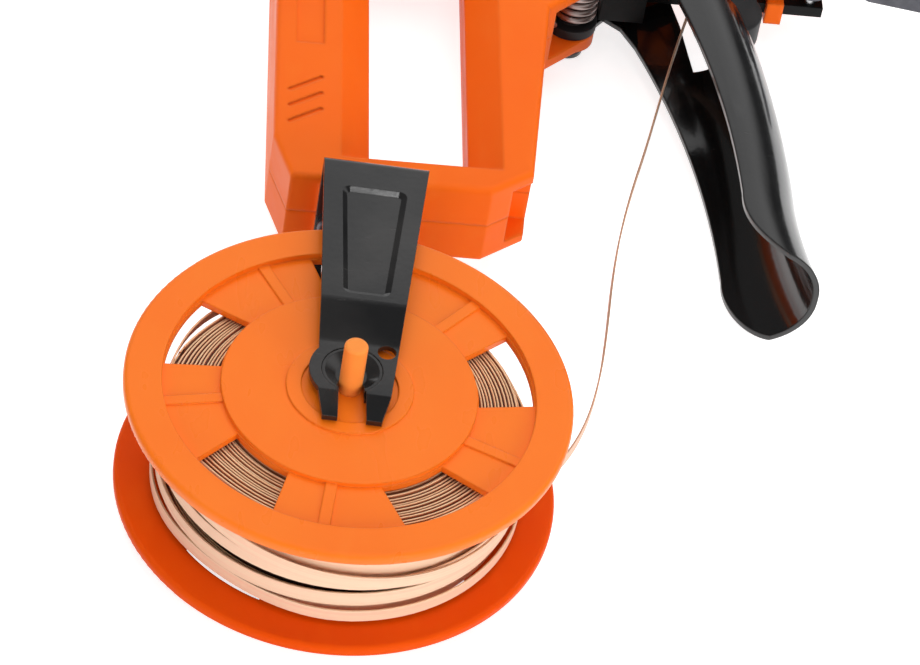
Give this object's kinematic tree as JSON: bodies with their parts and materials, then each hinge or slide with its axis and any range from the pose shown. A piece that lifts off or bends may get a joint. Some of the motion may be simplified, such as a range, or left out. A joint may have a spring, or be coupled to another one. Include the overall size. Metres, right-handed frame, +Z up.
{
  "type": "vine tying tool",
  "caption": "Hand-held vine tying tool: open D-grip body with squeeze lever, tying jaws with motor twister, and a bracketed spool feeding flat tie ribbon up to the head.",
  "frame": {"origin": "bottom centre of the tool's box as it lies on its side", "axes": "+X from the grip to the lever and jaws, +Y from the spool to the head, +Z up, square to the side of the tool"},
  "size_m": [0.2528, 0.3134, 0.0593],
  "materials": {
    "orange_plastic": "moulded, slightly glossy, faintly translucent",
    "black_steel": "black gloss coat on pressed sheet",
    "dark_spring_steel": "dark oiled spring wire",
    "plain_steel": "plain turned steel",
    "motor_steel": "drawn steel can",
    "black_plastic": "moulded, fine texture",
    "roller_plastic": "smooth turned plastic",
    "tie_ribbon": "thin tan ribbon, matt with a slight sheen",
    "cell_wrap": "shrink sleeve",
    "board_green": "lacquered board"
  },
  "bodies": {
    "frame": {"housing_near": "orange_plastic", "housing_far": "orange_plastic", "housing_screws": "plain_steel", "lever_pivot_pin": "plain_steel", "pivot_ring": "plain_steel", "pivot_washers": "black_plastic", "spring_sleeve": "black_plastic", "torsion_spring": "dark_spring_steel", "spool_bracket": "black_steel", "bracket_screws": "black_steel", "nut_plate": "plain_steel", "axle_bush_near": "black_plastic", "axle_bush_far": "black_plastic", "battery_cell": "cell_wrap", "battery_contacts": "plain_steel", "cell_retainer": "black_plastic", "control_board": "board_green", "board_parts": "black_plastic", "charge_socket": "plain_steel", "trigger_switch": "black_plastic", "drive_motor": "motor_steel", "gearbox": "motor_steel", "front_bearing": "plain_steel", "rear_bearing": "plain_steel", "upper_jaw": "black_steel", "cutter_blade": "plain_steel", "jaw_pivot_pin": "plain_steel", "ribbon_guide": "black_plastic", "roller_pin": "plain_steel", "ribbon_run": "tie_ribbon"},
    "lever": {"lever": "black_steel", "drive_pin": "plain_steel", "spring_peg": "plain_steel"},
    "push_frame": {"push_frame": "black_steel", "push_pin": "plain_steel"},
    "lower_jaw": {"lower_jaw": "black_steel"},
    "twister": {"output_shaft": "plain_steel", "drive_coupling": "motor_steel", "twister_shaft": "plain_steel", "twister_hook": "plain_steel"},
    "spool": {"spool_hub": "orange_plastic", "spool_flange_near": "orange_plastic", "spool_flange_far": "orange_plastic", "spool_axle": "orange_plastic", "ribbon_pack": "tie_ribbon"},
    "guide_roller": {"guide_roller": "roller_plastic"},
    "power_button": {"power_button": "black_plastic"}
  },
  "joints": [
    {"name": "lever_squeeze", "type": "hinge", "parent": "frame", "child": "lever", "pos_m": [-0.00244, 0.07975, 0.025], "axis": [0, 0, 1], "range_deg": [-20, 0], "stiffness_Nm_per_rad": 1.2, "springref_deg": 20.05, "deforming": ["torsion_spring"]},
    {"name": "push_slide", "type": "slide", "parent": "frame", "child": "push_frame", "axis": [1, 0, 0], "range_m": [0, 0.0058]},
    {"name": "jaw_close", "type": "hinge", "parent": "frame", "child": "lower_jaw", "pos_m": [0.07206, 0.11129, 0.025], "axis": [0, 0, 1], "range_deg": [0, 28]},
    {"name": "twister_spin", "type": "hinge", "parent": "frame", "child": "twister", "pos_m": [-0.06894, 0.12875, 0.025], "axis": [1, 0, 0], "continuous": true},
    {"name": "spool_spin", "type": "hinge", "parent": "frame", "child": "spool", "pos_m": [-0.06894, -0.09925, 0.025], "axis": [0, 0, 1], "continuous": true},
    {"name": "roller_spin", "type": "hinge", "parent": "frame", "child": "guide_roller", "pos_m": [0.03646, 0.07875, 0.025], "axis": [0, 0, 1], "continuous": true},
    {"name": "button_press", "type": "slide", "parent": "frame", "child": "power_button", "axis": [0, 0, -1], "range_m": [0, 0.0012], "stiffness_N_per_m": 400, "springref_m": -0.001}
  ],
  "couplings": [
    {"joint": "push_slide", "follows": "lever_squeeze", "m_per_rad": -0.016624},
    {"joint": "jaw_close", "follows": "lever_squeeze", "ratio": -1.4}
  ]
}
